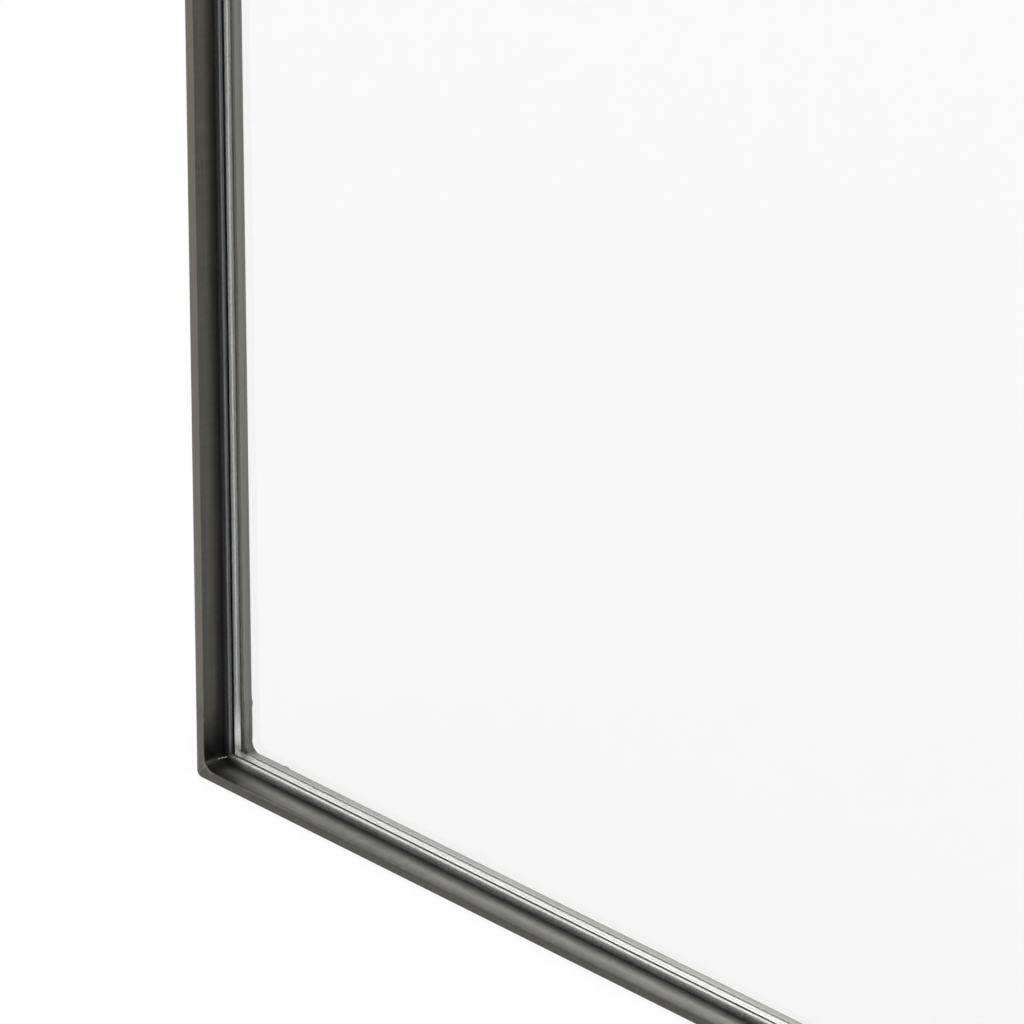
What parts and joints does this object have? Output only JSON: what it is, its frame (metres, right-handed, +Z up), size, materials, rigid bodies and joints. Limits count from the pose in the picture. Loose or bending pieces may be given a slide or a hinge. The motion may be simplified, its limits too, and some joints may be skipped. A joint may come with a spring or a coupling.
{
  "type": "rectangular mirror",
  "caption": "Upright rectangular wall mirror: silvered glass set back in a stepped frame of welded dark steel bars, with ring hangers and bumpers on the back.",
  "frame": {"origin": "centre of the bottom bar's underside, midway between its front and back edges", "axes": "+Z up, +X to the right of someone looking into the mirror, +Y from the front towards the wall"},
  "size_m": [0.61, 0.0346, 0.914],
  "materials": {
    "frame_steel": "dark waxed steel with faint drawn streaks and brighter arrises",
    "angle_steel": "bare satin steel, brighter on the rounded edge",
    "glass": "clear float glass, seamed edges",
    "silvering": "silver on the glass, grey protective paint behind",
    "foam_tape": "white closed-cell foam tape",
    "fibreboard": "raw medium-density fibreboard",
    "zinc_screw": "bright zinc plate",
    "hanger_steel": "nickel plate",
    "bumper_rubber": "matt black rubber",
    "weld_metal": "rippled weld bead, unground"
  },
  "bodies": {
    "mirror": {"outer_left_stile": "frame_steel", "outer_right_stile": "frame_steel", "outer_top_rail": "frame_steel", "outer_bottom_rail": "frame_steel", "inner_left_angle": "angle_steel", "inner_right_angle": "angle_steel", "inner_top_angle": "angle_steel", "inner_bottom_angle": "angle_steel", "mirror_glass": "glass", "silver_coat": "silvering", "mounting_tape": "foam_tape", "backing_board": "fibreboard", "board_screws": "zinc_screw", "hanger_strap_left": "hanger_steel", "hanger_strap_right": "hanger_steel", "hanger_screws": "zinc_screw", "wall_bumper_top_left": "bumper_rubber", "wall_bumper_top_right": "bumper_rubber", "wall_bumper_bottom_left": "bumper_rubber", "wall_bumper_bottom_right": "bumper_rubber", "back_mitre_welds": "weld_metal", "recess_corner_welds": "weld_metal"},
    "ring_left": {"hanger_ring_left": "hanger_steel"},
    "ring_right": {"hanger_ring_right": "hanger_steel"}
  },
  "joints": [
    {"name": "ring_left_swing", "type": "hinge", "parent": "mirror", "child": "ring_left", "pos_m": [-0.22, 0.0135, 0.684], "axis": [1, 0, 0], "range_deg": [0, 180]},
    {"name": "ring_right_swing", "type": "hinge", "parent": "mirror", "child": "ring_right", "pos_m": [0.22, 0.0135, 0.684], "axis": [1, 0, 0], "range_deg": [0, 180]}
  ]
}
